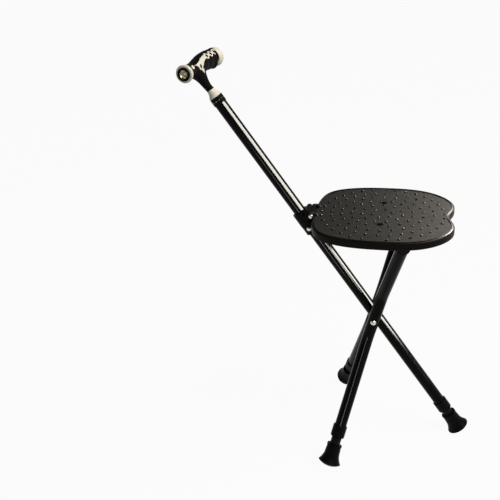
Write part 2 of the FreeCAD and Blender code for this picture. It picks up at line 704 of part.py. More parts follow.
def handle_pieces():
    """Post, cone skirt, grip with its inlays, and the torch inside it."""
    along_x = Vector(1, 0, 0)
    post_high = handle_along - post_gap
    keep("handle_post", rod(post_r, skirt_base - bush_depth, post_high), POLE)
    skirt_top = Vector(neck_r + skirt_wall, 0, skirt_base + skirt_height)
    cone_foot = Vector(skirt_cone_r, 0, skirt_base + skirt_rim)
    middle = (skirt_top + cone_foot) * 0.5 - Vector(skirt_hollow, 0, 0)
    corners = [skirt_top, Vector(post_r, 0, skirt_top.z), Vector(post_r, 0, skirt_base),
               Vector(skirt_r, 0, skirt_base), Vector(skirt_r, 0, cone_foot.z), cone_foot]
    outline = [Part.Arc(cone_foot, middle, skirt_top).toShape()]
    outline += [Part.LineSegment(a, b).toShape() for a, b in zip(corners, corners[1:])]
    skirt = Part.Face(Part.Wire(outline)).revolve(ORIGIN, Z_AXIS, 360)
    keep("cone_skirt", skirt, POLE)

    bore = rod(torch_tube_r + bore_fit, grip_end - 1, grip_front + 1, along_x)
    solid = grip_body(0)
    core = grip_body(inlay_sink).fuse(bore)
    proud = grip_body(-inlay_proud)
    grip = solid
    diamonds = []
    for side, name in ((1, "front_inlay"), (-1, "rear_inlay")):
        outline = inlay_outline(side)
        gems = [diamond(ring_first + i * ring_pitch, ring_high, side) for i in range(3)]
        gems.append(diamond(-0.6, -3.6, side))
        gem_block = gems[0].multiFuse(gems[1:])
        pocket = outline.cut(core)
        grip = grip.cut(pocket)
        shell = pocket.common(proud)
        keep(name, shell.cut(gem_block), HANDLE)
        diamonds.append(shell.common(gem_block))
    post = moved(rod(post_r, 0, post_high), POST_IN_HANDLE)
    button_at = Vector(torch_button_at, 0, torch_button_high)
    button_hole = rod(torch_button_r + torch_button_play, 0, 30, Y_AXIS, button_at)
    keep("grip", grip.cut(bore).cut(post).cut(button_hole), HANDLE)
    keep("inlay_diamonds", Part.makeCompound([s for d in diamonds for s in d.Solids]), HANDLE)

    tube_end = grip_end - end_cap_length + cap_recess
    tube = rod(torch_tube_r, tube_end, grip_front, along_x)
    inside_r = torch_tube_r - torch_tube_wall
    tube = tube.cut(rod(inside_r, tube_end, grip_front, along_x))
    keep("torch_tube", tube, HANDLE)

    surface = grip_side(torch_button_at)
    cap_low = surface + torch_button_proud - torch_button_depth
    button = rod(torch_button_r, cap_low, surface + torch_button_proud, Y_AXIS, button_at)
    edges = [e for e in button.Edges if e.CenterOfMass.y > surface + torch_button_proud - 0.1]
    keep("torch_button", button.makeFillet(torch_button_round, edges), HANDLE)
    switch = rod(torch_button_r, 0, cap_low - torch_button_travel - bore_fit, Y_AXIS, button_at)
    switch = switch.cut(rod(torch_tube_r, 0, grip_front, along_x))
    keep("switch_module", switch, HANDLE)

    bezel_end = grip_front + bezel_length
    bezel = along_handle([(torch_head_r, grip_front), (bezel_back_r, grip_front), (bezel_r, bezel_end - 2),
                          (bezel_r - 1, bezel_end), (torch_head_r, bezel_end)])
    keep("torch_bezel", bezel, HANDLE)
    head_end = bezel_end + torch_head_proud
    lens_low = head_end - 1 - lens_thickness
    head = along_handle([(inside_r, grip_front), (torch_head_r, grip_front), (torch_head_r, head_end - 0.8),
                         (torch_head_r - 0.8, head_end), (reflector_r, head_end),
                         (reflector_r, lens_low - reflector_depth), (inside_r, lens_low - reflector_depth)])
    keep("torch_head", head, HANDLE)
    keep("torch_lens", rod(reflector_r, lens_low, lens_low + lens_thickness, along_x), HANDLE)
    seat_x = lens_low - reflector_depth
    reflector = along_handle([(led_r + 0.2, seat_x), (led_r + 0.2 + reflector_wall, seat_x),
                              (reflector_r, lens_low - 1), (reflector_r, lens_low),
                              (reflector_r - reflector_wall, lens_low)])
    keep("torch_reflector", reflector, HANDLE)
    board = rod(inside_r, seat_x - board_thickness, seat_x, along_x)
    led = rod(led_r, seat_x, seat_x + 2, along_x).fuse(Part.makeSphere(led_r, Vector(seat_x + 2, 0, 0)))
    led = led.common(rod(led_r + 1, seat_x, seat_x + 6, along_x))
    keep("led_board", board.fuse(led).removeSplitter(), HANDLE)

    cell_front = seat_x - board_thickness - 0.2
    cells = []
    for i in range(2):
        nose = cell_front - i * (cell_length + cell_tip)
        cell = rod(cell_r, nose - cell_tip - cell_length, nose - cell_tip, along_x)
        cells.append(cell.fuse(rod(cell_tip_r, nose - cell_tip, nose, along_x)).removeSplitter())
    keep("battery_cells", Part.makeCompound(cells), HANDLE)

    cap_face = grip_end - end_cap_length
    end_cap = along_handle([
        (torch_tube_r, grip_end), (end_cap_small_r, grip_end), (end_cap_r, cap_face + end_cap_rim),
        (end_cap_r - 0.6, cap_face), (cap_knob_r + cap_gap + 2, cap_face),
        (cap_knob_r + cap_gap, cap_face + cap_recess), (torch_tube_r, cap_face + cap_recess)])
    keep("end_cap", end_cap, HANDLE)
    knob_low = tube_end - cap_gap
    knob_end = knob_low - cap_knob_length
    shank_end = knob_low + cap_shank
    knob = along_handle([(0, shank_end), (cap_shank_r, shank_end), (cap_shank_r, knob_low),
                         (cap_knob_r, knob_low), (cap_knob_r, knob_end + cap_round),
                         (cap_knob_r - cap_round * 0.3, knob_end + cap_round * 0.3),
                         (cap_knob_r - cap_round, knob_end), (0, knob_end)])
    keep("battery_cap", knob, HANDLE)
    last_cell = cell_front - 2 * (cell_length + cell_tip)
    spring = along_handle([(3, last_cell), (4, last_cell), (6.5, shank_end), (5.5, shank_end)])
    keep("battery_spring", spring, HANDLE)


def along_handle(profile):
    """Solid of revolution about the handle's axis from (radius, place) corners."""
    turned = lathe(profile)
    turned.Placement = Placement(ORIGIN, Rotation(Z_AXIS, Vector(1, 0, 0)))
    return turned


def grip_side(x):
    """Half width of the grip at a place along it."""
    for (x0, _, _, w0), (x1, _, _, w1) in zip(GRIP, GRIP[1:]):
        if x0 <= x <= x1:
            return w0 + (w1 - w0) * (x - x0) / (x1 - x0)
    return GRIP[-1][3]


pole_pieces()
leg_pieces(-1, "left")
leg_pieces(1, "right")
cross_pieces()
seat_pieces()
sleeve_piece()
handle_pieces()

# The origin is the middle of the whole part's footprint, on the ground
whole = Part.makeCompound(list(nodes.values())).optimalBoundingBox(False)
shift = Vector(-(whole.XMin + whole.XMax) / 2, -(whole.YMin + whole.YMax) / 2, -whole.ZMin)

os.makedirs("parts", exist_ok=True)
for name, shape in nodes.items():
    placed = shape.copy()
    placed.translate(shift)
    placed.exportStep("parts/" + name + ".step")
    print(name, len(placed.Solids), round(placed.Volume, 1), placed.isValid())
print("box", round(whole.XLength, 2), round(whole.YLength, 2), round(whole.ZLength, 2))
for label, place in (("pivot", PIVOT), ("cross", CROSS), ("hinge", HINGE)):
    spot = place + shift
    print(label, round(spot.x, 4), round(spot.y, 4), round(spot.z, 4))
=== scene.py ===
# %% [markdown]
# # Walking stick seat, dressed
#
# A walking stick seat is a cane that opens into a small three-legged seat. The measured frame holds
# every solid piece at its real size. This lesson gives those pieces their finishes, adds the small
# things that a mould leaves behind, and lights the whole like a catalogue picture.

# %% Load the frame
import math

import bmesh
import bpy
from mathutils import Matrix, Vector


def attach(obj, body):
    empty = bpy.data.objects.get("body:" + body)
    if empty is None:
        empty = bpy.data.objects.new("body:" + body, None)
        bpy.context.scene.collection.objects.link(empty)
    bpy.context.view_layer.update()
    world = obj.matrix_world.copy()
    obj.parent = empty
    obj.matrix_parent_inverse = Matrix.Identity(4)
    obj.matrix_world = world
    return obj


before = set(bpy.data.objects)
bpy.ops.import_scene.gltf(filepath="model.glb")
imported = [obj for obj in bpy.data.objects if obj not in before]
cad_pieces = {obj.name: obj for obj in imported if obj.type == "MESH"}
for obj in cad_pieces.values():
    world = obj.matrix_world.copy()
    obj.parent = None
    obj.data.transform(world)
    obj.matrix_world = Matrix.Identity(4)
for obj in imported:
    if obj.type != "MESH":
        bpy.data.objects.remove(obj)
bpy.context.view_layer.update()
MM = 0.001

# %% [markdown]
# ## The photographer's place
#
# The picture was taken from in front of the left side, a little above the handle and tipped slightly.
# A camera is its place, the way it looks (turn, nod and tip) and its lens. These came from fitting the
# seat, the tubes and the feet to the picture, so the camera is set once and never moved afterwards.

# %% Place the camera
CAMERA_PLACE = Vector((185.99, -1194.84, 1009.65)) * MM
CAMERA_TURN = 0.284
CAMERA_NOD = 0.461
CAMERA_TIP = -0.099
LENS_LENGTH = 52.59
SENSOR_WIDTH = 36.0
FAR_CLIP = 60.0

look = Vector((-math.sin(CAMERA_TURN) * math.cos(CAMERA_NOD),
               math.cos(CAMERA_TURN) * math.cos(CAMERA_NOD),
               -math.sin(CAMERA_NOD)))
level_right = Vector((math.cos(CAMERA_TURN), math.sin(CAMERA_TURN), 0))
level_up = level_right.cross(look)
camera_right = math.cos(CAMERA_TIP) * level_right + math.sin(CAMERA_TIP) * level_up
camera_up = -math.sin(CAMERA_TIP) * level_right + math.cos(CAMERA_TIP) * level_up

lens = bpy.data.cameras.new("camera")
lens.lens = LENS_LENGTH
lens.sensor_width = SENSOR_WIDTH
lens.clip_end = FAR_CLIP
camera = bpy.data.objects.new("camera", lens)
bpy.context.collection.objects.link(camera)
camera_axes = Matrix((camera_right, camera_up, -look)).transposed()
camera.matrix_world = Matrix.Translation(CAMERA_PLACE) @ camera_axes.to_4x4()
bpy.context.scene.camera = camera
print("camera looks along", tuple(round(part, 3) for part in look))

# %% [markdown]
# ## Writing nets of nodes as sums
#
# A finish in Blender is a net of small nodes, and so are the world and every shape that Geometry Nodes
# make. Most of the nodes only do sums, which read better as ordinary Python: a Wire carries a value
# through the net, and +, -, * and / between wires add the Math nodes. Nearly all the rest comes from
# one call, Net.add, which takes the node's kind, its settings and what goes into its sockets.

# %% A wire, a net and a finish
class Wire:
    """A value on its way through a net. Sums on it add Math nodes."""

    def __init__(self, net, socket):
        self.net = net
        self.socket = socket

    def sums(self, operation, first, second=0.0):
        return self.net.add("ShaderNodeMath", {"operation": operation}, {0: first, 1: second})

    def __add__(self, other):
        return self.sums("ADD", self, other)

    def __radd__(self, other):
        return self.sums("ADD", other, self)

    def __sub__(self, other):
        return self.sums("SUBTRACT", self, other)

    def __rsub__(self, other):
        return self.sums("SUBTRACT", other, self)

    def __mul__(self, other):
        return self.sums("MULTIPLY", self, other)

    def __rmul__(self, other):
        return self.sums("MULTIPLY", other, self)

    def __truediv__(self, other):
        return self.sums("DIVIDE", self, other)

    def __pow__(self, other):
        return self.sums("POWER", self, other)

    def __abs__(self):
        return self.sums("ABSOLUTE", self)

    def __lt__(self, other):
        return self.sums("LESS_THAN", self, other)

    def __gt__(self, other):
        return self.sums("GREATER_THAN", self, other)


class Net:
    """The net of a finish, of the world, or of a shape that Geometry Nodes make."""

    def __init__(self, tree):
        self.tree = tree
        self.tree.nodes.clear()

    def add(self, kind, settings=None, sockets=None, out=0):
        """Adds one node: first its settings, then what goes into its sockets.

        A socket takes a value, a wire or a list of wires. What comes back is the output named by out.
        """
        node = self.tree.nodes.new(kind)
        for key, value in (settings or {}).items():
            setattr(node, key, value)
        for key, value in (sockets or {}).items():
            for item in value if isinstance(value, list) else [value]:
                if isinstance(item, Wire):
                    self.tree.links.new(item.socket, node.inputs[key])
                else:
                    node.inputs[key].default_value = item
        return Wire(self, node.outputs[out]) if node.outputs else None

    def climb(self, value, low, high):
        """0 up to low, 1 from high on, and smooth between them."""
        return self.add("ShaderNodeMapRange", {"interpolation_type": "SMOOTHSTEP"},
                        {"Value": value, "From Min": low, "From Max": high})

    def seen(self):
        """1 for what is seen straight, mirrored or through a lens, and 0 for light that falls."""
        kinds = ("Is Camera Ray", "Is Glossy Ray", "Is Transmission Ray")
        straight, mirrored, through = [self.add("ShaderNodeLightPath", out=kind) for kind in kinds]
        return self.climb(straight + mirrored + through, 0.0, 1.0)


class Finish(Net):
    """One material and its net."""

    def __init__(self, name):
        self.material = bpy.data.materials.new(name)
        self.material.use_nodes = True
        super().__init__(self.material.node_tree)
        self.place = self.add("ShaderNodeTexCoord", out="Object")

    def clouds(self, size, detail=3.0):
        """Soft blotches about size metres across, from 0 to 1."""
        return self.add("ShaderNodeTexNoise", None,
                        {"Vector": self.place, "Scale": 1 / size, "Detail": detail})

    def pits(self, size):
        """Distance to the nearest of many scattered points about size metres apart, in cells."""
        return self.add("ShaderNodeTexVoronoi", {"feature": "F1"},
                        {"Vector": self.place, "Scale": 1 / size})

    def blend(self, share, first, second):
        """Colour that goes from first to second as share goes from 0 to 1."""
        return self.add("ShaderNodeMix", {"data_type": "RGBA"}, {0: share, 6: first, 7: second}, out=2)

    def reading(self, axis):
        """Where a point lies along X, Y or Z, in metres. Z counts from the floor."""
        return self.add("ShaderNodeSeparateXYZ", None, {0: self.place}, out=axis)

    def raised(self, height, depth, under=None):
        """Normal of a surface that stands out by height times depth metres."""
        sockets = {"Height": height, "Distance": depth, "Strength": 1.0}
        if under:
            sockets["Normal"] = under
        return self.add("ShaderNodeBump", None, sockets)

    def surface(self, **sockets):
        """Ends the net in a surface. Words in the call are its sockets, with _ for a space."""
        body = self.add("ShaderNodeBsdfPrincipled", None,
                        {key.replace("_", " "): value for key, value in sockets.items()})
        self.add("ShaderNodeOutputMaterial", None, {"Surface": body})
        return self.material


def tone(red, green, blue):
    """A colour as its screen values from 0 to 255, turned into the light it sends back."""
    def light(level):
        share = level / 255
        return share / 12.92 if share <= 0.04045 else ((share + 0.055) / 1.055) ** 2.4
    return (light(red), light(green), light(blue), 1.0)


print("rubbed black paint sends back", round(tone(9, 9, 8)[0], 4), "of the light")

# %% [markdown]
# ## Black gloss paint
#
# The pole and the legs are aluminium tube with a thick gloss coat. Such a coat is never quite flat: it
# has a faint orange peel a few millimetres across, and fine rubbed patches where hands and the sleeve
# pass. The peel is a bump of one or two micrometres. The rubbing makes the paint a little rougher and
# paler.

# %% Paint for the tubes
def gloss_paint():
    finish = Finish("tube gloss black")
    peel = finish.clouds(9 * MM, 2.0)
    rub = finish.climb(finish.clouds(35 * MM, 4.0), 0.45, 0.75)
    fine = finish.clouds(0.9 * MM, 3.0)
    colour = finish.blend(rub, tone(5, 5, 4), tone(9, 9, 8))
    return finish.surface(Base_Color=colour, Roughness=0.10 + 0.04 * rub + 0.015 * fine,
                          Normal=finish.raised(peel, 0.0015 * MM), Specular_IOR_Level=0.05)


# %% [markdown]
# ## Anodised inner tubes
#
# The thinner tubes that slide out for more height are only anodised, so they are duller and show a
# fine grain, with a little dust in patches.

# %% Anodised finish
def anodised():
    finish = Finish("inner tube anodised")
    grain = finish.clouds(0.6 * MM, 5.0)
    dust = finish.clouds(9 * MM, 4.0)
    colour = finish.blend(finish.climb(dust, 0.5, 0.8), tone(14, 14, 14), tone(24, 23, 22))
    return finish.surface(Base_Color=colour, Roughness=0.30 + 0.16 * grain,
                          Normal=finish.raised(grain, 0.01 * MM), Specular_IOR_Level=0.07)


# %% [markdown]
# ## Moulded black plastic
#
# The sleeve, ferrules, knuckles, collar and caps are moulded nylon. The mould is spark eroded, which
# leaves a fine even grain, so the plastic is satin rather than glossy. The black paint of the steel
# bracket under the seat has the same grain.

# %% Black plastic
def moulded_black(name, dark, light, rough):
    finish = Finish(name)
    spark = finish.pits(0.55 * MM)
    waves = finish.clouds(14 * MM, 3.0)
    colour = finish.blend(finish.climb(waves, 0.35, 0.75), tone(*dark), tone(*light))
    return finish.surface(Base_Color=colour, Roughness=rough + 0.14 * waves + 0.05 * spark,
                          Normal=finish.raised(spark, 0.015 * MM), Specular_IOR_Level=0.05)


# %% [markdown]
# ## The seat's plastic
#
# The board is a large moulding in charcoal plastic. Its top has a finer, leather-like grain than the
# small parts, and sitting has polished it in patches. The rim and the nubs stand highest, so they are
# the most polished. The lugs by the hinge are never touched and keep the rough skin of the mould.
# The side wall and the underside have painted shade: their colour is made darker for the shade on them.
# Height against the rim's crown tells the rim and the wall apart, and X tells the lugs.

# %% Seat plastic
SEAT_REAR = Vector((-32.90, 0.0, 477.1)) * MM
SEAT_SLOPE = math.radians(1.86)
LUGS_END = -36 * MM
BOARD_STARTS = -30 * MM
RIM_FOOT = -1.0 * MM
RIM_CROWN = -0.2 * MM
# Depths below the seat's top where the painted shade on the side wall starts and where it is darkest.
WALL_SHADE_DARKEST = -5 * MM
WALL_SHADE_STARTS = -2.5 * MM


def seat_charcoal(name, rough):
    finish = Finish(name)
    cells = finish.pits(0.9 * MM)
    fine = finish.clouds(0.35 * MM, 4.0)
    polish = finish.clouds(48 * MM, 4.0)
    rise = ((finish.reading("X") - SEAT_REAR.x) * math.sin(SEAT_SLOPE)
            + (finish.reading("Z") - SEAT_REAR.z) * math.cos(SEAT_SLOPE))
    lug = 1 - finish.climb(finish.reading("X"), LUGS_END, BOARD_STARTS)
    rim = finish.climb(rise, RIM_FOOT, RIM_CROWN) - lug
    # Painted shade: the side wall and the underside are coloured darker, down to tone(7, 6, 5), for the
    # shade on them.
    wall_shade = 1 - finish.climb(rise, WALL_SHADE_DARKEST, WALL_SHADE_STARTS)
    patches = finish.blend(finish.climb(polish, 0.3, 0.75), tone(13, 11, 9), tone(18, 16, 12))
    colour = finish.blend(wall_shade, patches, tone(7, 6, 5))
    grain = finish.raised(cells, 0.03 * MM)
    worn = rough + 0.08 * polish + 0.05 * fine
    return finish.surface(Base_Color=colour, Roughness=worn + 0.4 * lug - 0.26 * rim,
                          Normal=finish.raised(fine, 0.012 * MM, grain), Specular_IOR_Level=0.07,
                          Specular_Tint=(1.0, 0.91, 0.78, 1.0))


# %% [markdown]
# ## Rubber
#
# The grip is soft rubber with a very fine matt skin. The feet are harder and greyer, and floor dust
# sticks to their lowest few millimetres, which is the only place where the colour changes much.

# %% Rubber for the grip and the feet
DUSTIEST_BELOW = 1 * MM
CLEAN_ABOVE = 14 * MM


def grip_skin():
    finish = Finish("grip rubber")
    skin = finish.pits(0.7 * MM)
    soft = finish.clouds(20 * MM, 3.0)
    colour = finish.blend(finish.climb(soft, 0.35, 0.8), tone(8, 7, 7), tone(15, 13, 12))
    return finish.surface(Base_Color=colour, Roughness=0.5 + 0.14 * soft,
                          Normal=finish.raised(skin, 0.03 * MM), Specular_IOR_Level=0.045)


def foot_skin():
    finish = Finish("foot rubber")
    skin = finish.pits(0.8 * MM)
    scuffs = finish.clouds(6 * MM, 5.0)
    low_down = 1 - finish.climb(finish.reading("Z"), DUSTIEST_BELOW, CLEAN_ABOVE)
    dusty = low_down * finish.climb(scuffs, 0.35, 0.7)
    colour = finish.blend(dusty * 0.55, tone(8, 8, 8), tone(30, 29, 27))
    return finish.surface(Base_Color=colour, Roughness=0.45 + 0.12 * scuffs + 0.2 * dusty,
                          Normal=finish.raised(skin, 0.03 * MM), Specular_IOR_Level=0.05)


# %% [markdown]
# ## Cream plastic
#
# The cone, the torch's ring, the flared cap and the inlays are a warm cream. It is a glossier plastic
# with faint, slightly yellower flow marks. The torch's button is paler and pinker.

# %% Cream plastic
def cream():
    finish = Finish("cream plastic")
    flow = finish.clouds(11 * MM, 4.0)
    grain = finish.clouds(0.5 * MM, 3.0)
    colour = finish.blend(finish.climb(flow, 0.3, 0.8), tone(228, 224, 213), tone(216, 210, 194))
    return finish.surface(Base_Color=colour, Roughness=0.42 + 0.1 * grain + 0.06 * flow,
                          Normal=finish.raised(grain, 0.012 * MM), Specular_IOR_Level=0.2)


def pale_cap():
    finish = Finish("pale push button")
    grain = finish.clouds(0.5 * MM, 3.0)
    colour = finish.blend(grain, tone(240, 226, 222), tone(226, 206, 200))
    return finish.surface(Base_Color=colour, Roughness=0.4 + 0.1 * grain,
                          Normal=finish.raised(grain, 0.012 * MM), Specular_IOR_Level=0.1)


# %% [markdown]
# ## Metals
#
# A metal differs from a plastic mainly in one number, Metallic at 1, and in its colour, which tints
# its reflections. One recipe serves bolts, brass buttons, springs, washers and the torch's tube: a
# fine clouded grain that changes the roughness, and a few darker spots.

# %% One recipe for the metals
def metal(name, bright, dull, rough):
    finish = Finish(name)
    grain = finish.clouds(0.5 * MM, 4.0)
    tarnish = finish.climb(finish.clouds(5 * MM, 5.0), 0.45, 0.8)
    colour = finish.blend(tarnish, tone(*bright), tone(*dull))
    return finish.surface(Base_Color=colour, Metallic=1.0,
                          Roughness=rough + 0.12 * grain + 0.1 * tarnish,
                          Normal=finish.raised(grain, 0.01 * MM))


# %% [markdown]
# ## Lens, light and cells
#
# The torch's lens is clear plastic, its board is pale, and the two cells have a plain grey wrap. The
# board, the wrap and the dark nylon share one simple recipe.

# %% Small finishes
def clear_lens():
    finish = Finish("torch lens")
    smear = finish.clouds(3 * MM, 3.0)
    return finish.surface(Base_Color=(0.97, 0.98, 1.0, 1.0), Roughness=0.02 + 0.06 * smear, IOR=1.49,
                          Transmission_Weight=1.0, Normal=finish.raised(smear, 0.005 * MM))


def plain_moulding(name, first, second, rough):
    finish = Finish(name)
    grain = finish.clouds(2 * MM, 4.0)
    return finish.surface(Base_Color=finish.blend(grain, tone(*first), tone(*second)),
                          Roughness=rough + 0.15 * grain, Normal=finish.raised(grain, 0.02 * MM))


# %% [markdown]
# ## Which finish goes on which piece
#
# Every CAD piece names its finish by a word. The table below answers each word with one of the
# finishes above, and each piece is then repainted without touching its shape.

# %% Paint the CAD pieces
finishes = {
    "seat_plastic": seat_charcoal("seat charcoal", 0.40),
    "black_plastic": moulded_black("moulded black", (7, 7, 7), (13, 12, 11), 0.36),
    "cream_plastic": cream(),
    "foot_rubber": foot_skin(),
    "grip_rubber": grip_skin(),
    "tube_paint": gloss_paint(),
    "inner_tube": anodised(),
    "pale_button": pale_cap(),
    "brass_button": metal("brass button", (205, 176, 118), (160, 130, 82), 0.24),
    "bolt_steel": metal("bolt steel", (222, 220, 212), (180, 177, 168), 0.3),
    "bracket_steel": moulded_black("bracket black paint", (12, 12, 12), (19, 18, 17), 0.3),
    "spring_steel": metal("spring steel", (176, 176, 176), (130, 128, 124), 0.28),
    "washer_steel": metal("washer steel", (190, 190, 190), (140, 138, 134), 0.34),
    "post_steel": metal("post steel", (180, 180, 182), (140, 139, 136), 0.3),
    "nylon": plain_moulding("dark nylon", (38, 38, 38), (52, 51, 50), 0.45),
    "torch_alloy": metal("torch alloy", (196, 197, 200), (160, 160, 162), 0.3),
    "reflector_chrome": metal("reflector chrome", (226, 212, 168), (150, 132, 88), 0.12),
    "lens_clear": clear_lens(),
    "led_board": plain_moulding("light board", (236, 226, 176), (222, 208, 150), 0.35),
    "cell_wrap": plain_moulding("cell wrap", (92, 92, 98), (74, 74, 80), 0.3),
}
for piece in cad_pieces.values():
    for place, worn in enumerate(piece.data.materials):
        piece.data.materials[place] = finishes[worn.name]
print("repainted", len(cad_pieces), "pieces with", len(finishes), "finishes")

# %% [markdown]
# ## Shapes that follow a rule
#
# What repeats by a rule is made by Geometry Nodes. Their tree is a net too, with named sizes as its
# inputs. It is run once and only its plain mesh is kept. A finished piece then rides on its body.

# %% Helpers for Geometry Nodes
BALL_RINGS = 6


class Tree(Net):
    """A Geometry Nodes tree being written, with named sizes."""

    def __init__(self, name, sizes):
        super().__init__(bpy.data.node_groups.new(name, "GeometryNodeTree"))
        face = self.tree.interface
        face.new_socket("Geometry", in_out="INPUT", socket_type="NodeSocketGeometry")
        face.new_socket("Geometry", in_out="OUTPUT", socket_type="NodeSocketGeometry")
        self.sizes = sizes
        for label, value in sizes.items():
            kind = "NodeSocketInt" if isinstance(value, int) else "NodeSocketFloat"
            face.new_socket(label, in_out="INPUT", socket_type=kind)
        self.enter = self.tree.nodes.new("NodeGroupInput")

    def size(self, label):
        return Wire(self, self.enter.outputs[label])

    def balls(self, points, radius, segments, scale=(1.0, 1.0, 1.0)):
        """A small smooth ball on every point, with as many segments round it."""
        ball = self.add("GeometryNodeMeshUVSphere", None,
                        {"Segments": segments, "Rings": BALL_RINGS, "Radius": radius}, out="Mesh")
        spots = self.add("GeometryNodeInstanceOnPoints", None,
                         {"Points": points, "Instance": ball, "Scale": scale})
        solid = self.add("GeometryNodeRealizeInstances", None, {"Geometry": spots})
        return self.add("GeometryNodeSetShadeSmooth", None, {"Geometry": solid})

    def moved(self, geometry, place, turn):
        return self.add("GeometryNodeTransform", None,
                        {"Geometry": geometry, "Translation": place, "Rotation": turn})

    def baked(self, name, geometry, finish):
        """Ends the tree, runs it with its sizes, and returns the result as a plain mesh object."""
        dressed = self.add("GeometryNodeSetMaterial", None, {"Geometry": geometry, "Material": finish})
        self.add("NodeGroupOutput", None, {"Geometry": dressed})
        carrier = bpy.data.objects.new(name + "_carrier", bpy.data.meshes.new(name + "_carrier"))
        bpy.context.collection.objects.link(carrier)
        modifier = carrier.modifiers.new(name, "NODES")
        modifier.node_group = self.tree
        for item in self.tree.interface.items_tree:
            if item.in_out == "INPUT" and item.name in self.sizes:
                modifier[item.identifier] = self.sizes[item.name]
        evaluated = bpy.context.evaluated_depsgraph_get()
        mesh = bpy.data.meshes.new_from_object(carrier.evaluated_get(evaluated))
        carrier.modifiers.clear()
        bpy.data.objects.remove(carrier)
        return whole_piece(name, mesh)


def whole_piece(name, mesh):
    """The object of a finished mesh."""
    piece = bpy.data.objects.new(name, mesh)
    mesh.name = name
    bpy.context.collection.objects.link(piece)
    print(name, "has", len(mesh.polygons), "faces")
    return piece


def put(piece, body):
    """A finished piece rides on its body."""
    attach(piece, body)


# %% [markdown]
# ## Rings of nubs on the seat
#
# The seat's top has small round nubs that keep clothes from sliding. They stand in rings about the
# middle between the screws, one ring every 18 mm, with even steps along each ring and each ring turned
# a little against the last. Sums on their place drop the points that fall outside the board's outline
# or too near a screw, and one small dome is placed on every point that is left.

# %% Nubs on the seat
DISH_DEPTH = 1.2 * MM
SEAT_LENGTH = 243.3 * MM
SEAT_WIDTH = 237.4 * MM
SCREW_AT = Vector((119.0, 46.7)) * MM
RINGS = 7
FIRST_TURN = 6.0
TURN_STEP = 9.0
OUTLINE_POWER = 3.1
NUB_SEGMENTS = 12
NUB_SIZES = {
    "ring step": 17.9 * MM,
    "nub step": 20.2 * MM,
    "nub radius": 2.4 * MM,
    "nub height": 1.7 * MM,
    "rim gap": 11.5 * MM,
    "screw gap": 9.0 * MM,
}
nub_tree = Tree("seat nubs", NUB_SIZES)


def ring_points(tree, ring, centre):
    """Points of one ring about the seat's middle, as a mesh circle moved into place."""
    radius = tree.size("ring step") * float(ring)
    count = (radius * (2 * math.pi)) / tree.size("nub step") + 0.5
    circle = tree.add("GeometryNodeMeshCircle", None, {"Vertices": count, "Radius": radius}, out="Mesh")
    return tree.moved(circle, centre, (0.0, 0.0, math.radians(FIRST_TURN + TURN_STEP * ring)))


seat_middle = Vector((SCREW_AT.x, 0.0, -DISH_DEPTH))
circles = [ring_points(nub_tree, ring, seat_middle) for ring in range(1, RINGS + 1)]
rings = nub_tree.add("GeometryNodeJoinGeometry", None, {0: circles})
spot = nub_tree.add("GeometryNodeInputPosition")
along = nub_tree.add("ShaderNodeSeparateXYZ", None, {0: spot}, out="X")
across = nub_tree.add("ShaderNodeSeparateXYZ", None, {0: spot}, out="Y")

half_length = SEAT_LENGTH / 2 - nub_tree.size("rim gap")
half_width = SEAT_WIDTH / 2 - nub_tree.size("rim gap")
share_along = abs((along - SEAT_LENGTH / 2) / half_length) ** OUTLINE_POWER
share_across = abs(across / half_width) ** OUTLINE_POWER
outside = (share_along + share_across) > 1.0
to_screw = (along - SCREW_AT.x) ** 2.0 + (abs(across) - SCREW_AT.y) ** 2.0
near_screw = to_screw < nub_tree.size("screw gap") ** 2.0
kept = nub_tree.add("GeometryNodeDeleteGeometry", {"domain": "POINT"},
                    {"Geometry": rings, "Selection": (outside + near_screw) > 0.5})

height_share = nub_tree.size("nub height") / nub_tree.size("nub radius")
squat = nub_tree.add("ShaderNodeCombineXYZ", None, {"X": 1.0, "Y": 1.0, "Z": height_share})
domes = nub_tree.balls(kept, nub_tree.size("nub radius"), NUB_SEGMENTS, squat)
on_seat = nub_tree.moved(domes, SEAT_REAR, (0.0, SEAT_SLOPE, 0.0))
nubs = nub_tree.baked("seat_nubs", on_seat, seat_charcoal("seat nubs", 0.2))
put(nubs, "seat")

# %% [markdown]
# ## Studs on the collar
#
# The black collar under the cream cone carries twelve small bright studs. They are one circle of
# points with a small ball on each, moved up the pole and tilted with it.

# %% Studs round the collar
CROSSING = Vector((70.9658, 0.0, 264.608)) * MM
POLE_TILT = math.radians(-32.3)
COLLAR_UP_POLE = 494.6 * MM
STUD_SEGMENTS = 10
STUD_SIZES = {
    "studs": 12,
    "ring radius": 11.35 * MM,
    "stud radius": 1.08 * MM,
}

up_pole = Vector((math.sin(POLE_TILT), 0.0, math.cos(POLE_TILT)))
stud_tree = Tree("collar studs", STUD_SIZES)
stud_circle = stud_tree.add("GeometryNodeMeshCircle", None, {
    "Vertices": stud_tree.size("studs"), "Radius": stud_tree.size("ring radius")}, out="Mesh")
stud_balls = stud_tree.balls(stud_circle, stud_tree.size("stud radius"), STUD_SEGMENTS)
on_collar = stud_tree.moved(stud_balls, CROSSING + up_pole * COLLAR_UP_POLE, (0.0, POLE_TILT, 0.0))
put(stud_tree.baked("collar_studs", on_collar, finishes["post_steel"]), "pole")

# %% [markdown]
# ## A ring that holds the torch's lens
#
# A thin black ring is screwed in front of the lens. It hides the reflector's edge, so less of the
# bright bowl is seen. Its place is measured from the lens: a flat face gives the way it looks, and the
# mean of its corners gives its middle.

# %% Lens ring
RING_STEPS = 48
RING_PROFILE = [(8.58 * MM, 0.62 * MM), (8.58 * MM, 1.4 * MM),
                (7.8 * MM, 1.4 * MM), (6.9 * MM, 0.62 * MM)]


def middle_of(piece):
    return sum((corner.co for corner in piece.data.vertices), Vector()) / len(piece.data.vertices)


